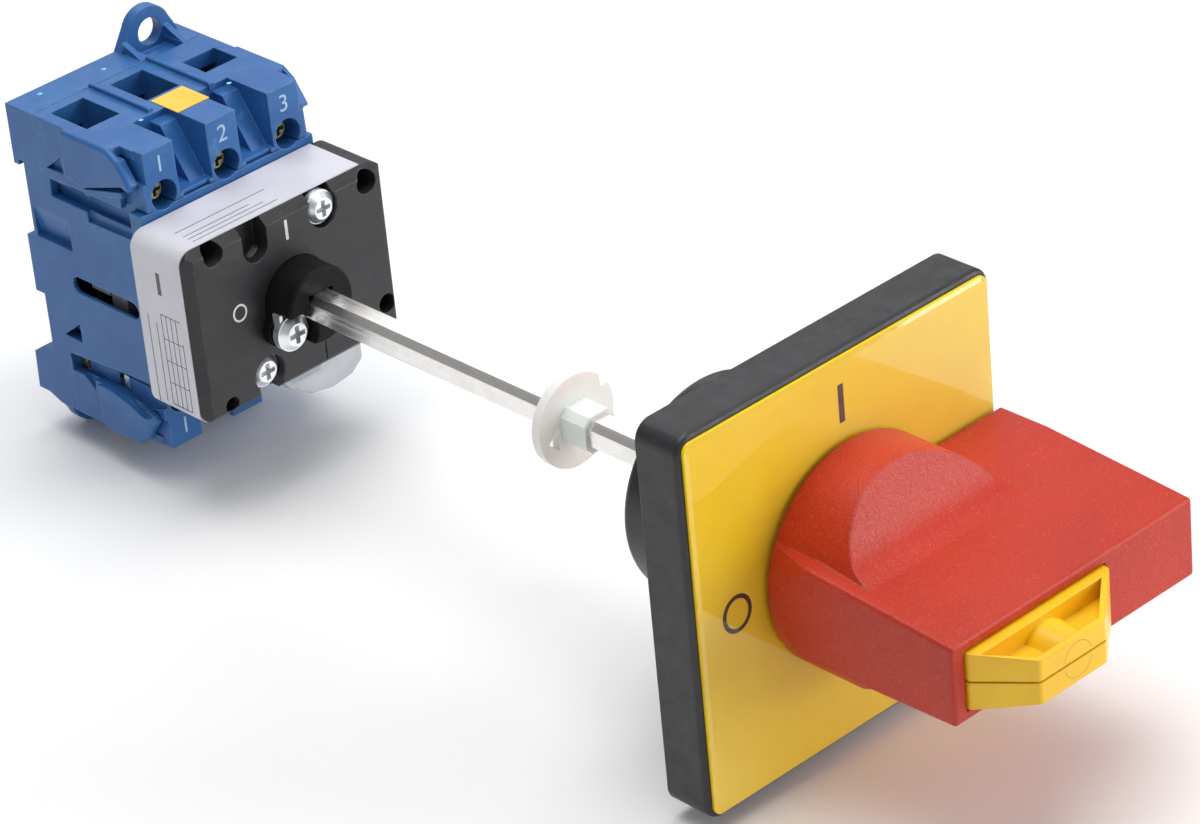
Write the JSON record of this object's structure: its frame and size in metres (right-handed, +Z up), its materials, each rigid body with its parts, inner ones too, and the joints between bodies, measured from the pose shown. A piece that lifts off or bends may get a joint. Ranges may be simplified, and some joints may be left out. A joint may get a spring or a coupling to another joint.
{
  "type": "rotary isolator switch",
  "caption": "Rail-mounted rotary isolator with a square extension shaft and a padlockable red door handle on a yellow square plate.",
  "frame": {"origin": "on the shaft's axis, in the plane where the switch body sits on its DIN rail", "axes": "+X right, +Y from the door towards the wall along the shaft, +Z up, with the door plate facing -Y"},
  "size_m": [0.064, 0.2172, 0.0676],
  "materials": {
    "blue_plastic": "moulded, fine satin",
    "black_plastic": "moulded, fine matt",
    "rotor_plastic": "moulded, satin",
    "zinc_steel": "zinc plated, bright",
    "bright_steel": "drawn bar, bright",
    "brass": "plain",
    "silver": "satin silver alloy",
    "spring_steel": "drawn wire",
    "white_label": "coated, satin",
    "yellow_label": "coated, satin",
    "clear_plastic": "clear, polished",
    "milky_plastic": "natural, translucent",
    "legend_yellow": "printed sheet, gloss",
    "rubber": "matt",
    "red_plastic": "moulded, fine spark texture",
    "yellow_plastic": "moulded, semi-gloss"
  },
  "bodies": {
    "switch_body": {"switch_housing": "blue_plastic", "line_terminal_deck": "blue_plastic", "load_terminal_deck": "blue_plastic", "line_terminal_screws": "brass", "load_terminal_screws": "brass", "line_wire_clamps": "zinc_steel", "load_wire_clamps": "zinc_steel", "line_fixed_contacts": "brass", "load_fixed_contacts": "brass", "fixed_contact_tips": "silver", "deck_sticker": "yellow_label", "front_cover": "black_plastic", "cover_screws": "zinc_steel", "wrap_label": "white_label", "marker_tab": "clear_plastic", "detent_plungers": "zinc_steel", "detent_springs": "spring_steel"},
    "contact_carriage": {"contact_carrier": "rotor_plastic", "contact_bridges": "brass", "bridge_contact_tips": "silver", "bridge_springs": "spring_steel"},
    "rotor": {"cam_drum": "rotor_plastic", "hub_coupler": "black_plastic", "hub_clamp_screw": "zinc_steel", "hub_clamp_plate": "zinc_steel", "extension_shaft": "bright_steel", "centring_disc": "milky_plastic"},
    "door_unit": {"plate_frame": "black_plastic", "legend_sheet": "legend_yellow", "clear_window": "clear_plastic", "mounting_collar": "black_plastic", "door_gasket": "rubber", "fixing_nut": "black_plastic"},
    "handle": {"handle_shell": "red_plastic", "shaft_socket": "black_plastic", "stem_clip": "spring_steel", "handle_screw": "zinc_steel"},
    "padlock_slider": {"padlock_slider_upper": "yellow_plastic", "padlock_slider_lower": "yellow_plastic"},
    "rail_latch": {"din_latch": "blue_plastic", "latch_spring": "spring_steel"}
  },
  "joints": [
    {"name": "rotor_turn", "type": "hinge", "parent": "switch_body", "child": "rotor", "pos_m": [0, -0.0439, 0], "axis": [0, 1, 0], "range_deg": [0, 90]},
    {"name": "carriage_slide", "type": "slide", "parent": "switch_body", "child": "contact_carriage", "axis": [0, 1, 0], "range_m": [0, 0.003]},
    {"name": "door_draw", "type": "slide", "parent": "switch_body", "child": "door_unit", "axis": [0, -1, 0], "range_m": [0, 0.03]},
    {"name": "handle_turn", "type": "hinge", "parent": "door_unit", "child": "handle", "pos_m": [0, -0.1658, 0], "axis": [0, 1, 0], "range_deg": [0, 90]},
    {"name": "slider_push", "type": "slide", "parent": "handle", "child": "padlock_slider", "axis": [0, 1, 0], "range_m": [0, 0.008]},
    {"name": "latch_pull", "type": "slide", "parent": "switch_body", "child": "rail_latch", "axis": [0, 0, -1], "range_m": [0, 0.003], "stiffness_N_per_m": 400, "springref_m": -0.002}
  ],
  "couplings": [
    {"joint": "carriage_slide", "follows": "handle_turn", "m_per_rad": 0.0019098},
    {"joint": "rotor_turn", "follows": "handle_turn", "ratio": 1}
  ]
}
